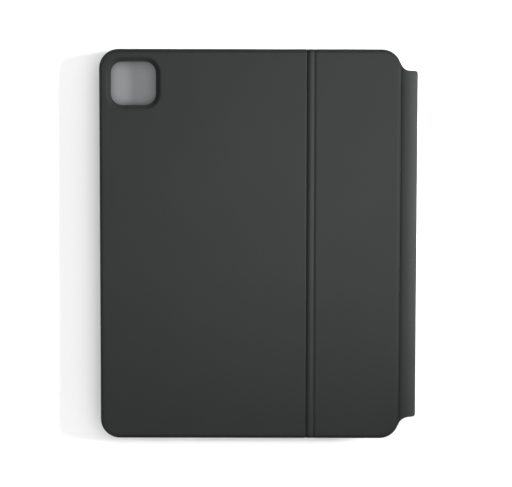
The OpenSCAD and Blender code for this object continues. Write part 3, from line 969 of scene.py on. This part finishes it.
def legend(text, x, y, z, size):
    """Flat letters of a printed legend, as a mesh centred on a point."""
    curve = bpy.data.curves.new("legend", "FONT")
    curve.body = text
    curve.size = size
    curve.align_x = "CENTER"
    curve.align_y = "CENTER"
    curve.extrude = PRINT_HALF
    curve.resolution_u = 3
    obj = bpy.data.objects.new("legend", curve)
    bpy.context.scene.collection.objects.link(obj)
    bpy.context.view_layer.update()
    mesh = bpy.data.meshes.new_from_object(obj.evaluated_get(bpy.context.evaluated_depsgraph_get()))
    mesh.transform(Matrix.Translation((x, y, z)))
    bpy.data.objects.remove(obj)
    bpy.data.curves.remove(curve)
    return mesh


def arrow_mesh(x, y, z, size, way):
    """Small printed triangle that points left, right, up or down."""
    turn = {"right": 0, "up": 90, "left": 180, "down": 270}[way]
    angles = [math.radians(a + turn) for a in (0, 120, 240)]
    corners = [(x + size * math.cos(a), y + size * math.sin(a)) for a in angles]
    bm = bmesh.new()
    low = [bm.verts.new((cx, cy, z - PRINT_HALF)) for cx, cy in corners]
    high = [bm.verts.new((cx, cy, z + PRINT_HALF)) for cx, cy in corners]
    bm.faces.new(high)
    bm.faces.new(list(reversed(low)))
    bridge(bm, [low, high])
    mesh = bpy.data.meshes.new("arrow")
    bm.to_mesh(mesh)
    bm.free()
    return mesh


# Words on the keys of each node, from left to right; < and a way stand for an arrow
LEGENDS = {
    "function_keys": ["esc"] + [f"F{i}" for i in range(1, 13)] + ["lock"],
    "number_keys": list("`1234567890-="),
    "top_letter_keys": list("QWERTYUIOP[]\\"),
    "home_letter_keys": list("ASDFGHJKL;'"),
    "bottom_letter_keys": list("ZXCVBNM,./"),
    "delete_key": ["delete"], "tab_key": ["tab"], "caps_lock_key": ["caps lock"], "return_key": ["return"],
    "left_shift_key": ["shift"], "right_shift_key": ["shift"], "fn_key": ["fn"], "control_key": ["ctrl"],
    "left_option_key": ["opt"], "left_command_key": ["cmd"], "space_key": [""],
    "right_command_key": ["cmd"], "right_option_key": ["opt"], "left_arrow_key": ["<left"],
    "up_arrow_key": ["<up"], "down_arrow_key": ["<down"], "right_arrow_key": ["<right"],
}


def key_piece(node, words):
    """The keycaps of one node, and their printed legends as a piece that rides with them."""
    boxes = islands(node)
    bm = bmesh.new()
    for lo, hi in boxes:
        key_cap(bm, lo, hi, KEY_R if hi.y - lo.y > 10 * MM else LOW_KEY_R)
    caps = add_object(node + "_caps", bm)
    shade(caps, 50)
    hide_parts(node)
    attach(caps, BODY_OF[node])
    finish_with(caps, KEYCAP)
    ink = bmesh.new()
    for (lo, hi), word in zip(boxes, words):
        if not word:
            continue
        x, y, z = (lo.x + hi.x) / 2, (lo.y + hi.y) / 2, hi.z - PRINT_DEPTH
        if word.startswith("<"):
            mesh = arrow_mesh(x, y, z, ARROW_SIZE, word[1:])
        else:
            mesh = legend(word, x, y, z, LETTER_SIZE if len(word) == 1 else WORD_SIZE)
        ink.from_mesh(mesh)
        bpy.data.meshes.remove(mesh)
    if ink.verts:
        marks = add_object(node + "_legends", ink)
        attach(marks, BODY_OF[node])
        finish_with(marks, INK)
    else:
        ink.free()


for key_node, key_words in LEGENDS.items():
    key_piece(key_node, key_words)

# ---- CAD parts that keep their shape get their slot's material ----

for row in frame["record"]["subparts"]:
    node_object = NODES[row["node"]]
    node_object.data.materials.clear()
    node_object.data.materials.append(SLOT_MATERIALS[row["material_slot"]])

# ---- Studio ----

def area_light(name, place, target, size, power, spread=180):
    """Soft box that shines from place to target, within a cone of spread degrees."""
    data = bpy.data.lights.new(name, "AREA")
    data.shape = "RECTANGLE"
    data.size, data.size_y = size
    data.energy = power
    data.spread = math.radians(spread)
    obj = bpy.data.objects.new(name, data)
    obj.location = place
    obj.rotation_mode = "QUATERNION"
    obj.rotation_quaternion = (Vector(target) - Vector(place)).to_track_quat("-Z", "Y")
    bpy.context.scene.collection.objects.link(obj)


def studio():
    """Pale paper floor, white surroundings, a large soft box overhead and a small key light by the spine."""
    bm = bmesh.new()
    bmesh.ops.create_grid(bm, x_segments=2, y_segments=2, size=4)
    floor = add_object("floor", bm)
    s = Surface("floor_paper", rough=0.9, specular=0.1)
    s.colour(s.ramp(s.noise(300, 2), [(0.3, (0.90, 0.90, 0.90, 1)), (0.7, (0.92, 0.92, 0.92, 1))]))
    floor.data.materials.append(s.mat)
    world = bpy.data.worlds.new("studio")
    world.use_nodes = True
    background = world.node_tree.nodes["Background"]
    background.inputs["Color"].default_value = (1, 1, 1, 1)
    background.inputs["Strength"].default_value = 0.65
    bpy.context.scene.world = world
    bpy.context.scene.view_settings.view_transform = "Standard"
    area_light("key", place=(-0.1, 0.58, 0.34), target=(-0.055, 0.045, 0),
               size=(0.3, 0.25), power=0.7, spread=29)
    area_light("top", place=(-0.4, 0.35, 2.5), target=(0, 0, 0),
               size=(2.6, 2.6), power=37)


studio()

# ---- Camera ----

SENSOR_MM = 36
# Its distance, the width of its view at the lid, and the point on the lid that it looks at
CAMERA_DISTANCE = 1.5
VIEW_WIDTH = 332.3 * MM
VIEW_MIDDLE = Vector((-1.3 * MM, -1.6 * MM, TOP_Z))
CAMERA_TILT = math.radians(5.8)
CAMERA_ROLL = math.radians(0.1)


def camera():
    """Almost straight above the lid, with the spine to the right and a slight tilt that widens the top."""
    data = bpy.data.cameras.new("camera")
    data.sensor_width = SENSOR_MM
    data.lens = SENSOR_MM * (CAMERA_DISTANCE - TOP_Z) / VIEW_WIDTH
    obj = bpy.data.objects.new("camera", data)
    back = Vector((-math.sin(CAMERA_TILT), 0, math.cos(CAMERA_TILT)))
    obj.location = VIEW_MIDDLE + back * (CAMERA_DISTANCE - TOP_Z)
    level = Vector((0, 1, 0))
    right = level * math.cos(CAMERA_ROLL) + back.cross(level) * math.sin(CAMERA_ROLL)
    up = back.cross(right)
    obj.rotation_euler = Matrix((right, up, back)).transposed().to_euler()
    bpy.context.scene.collection.objects.link(obj)
    bpy.context.scene.camera = obj


camera()
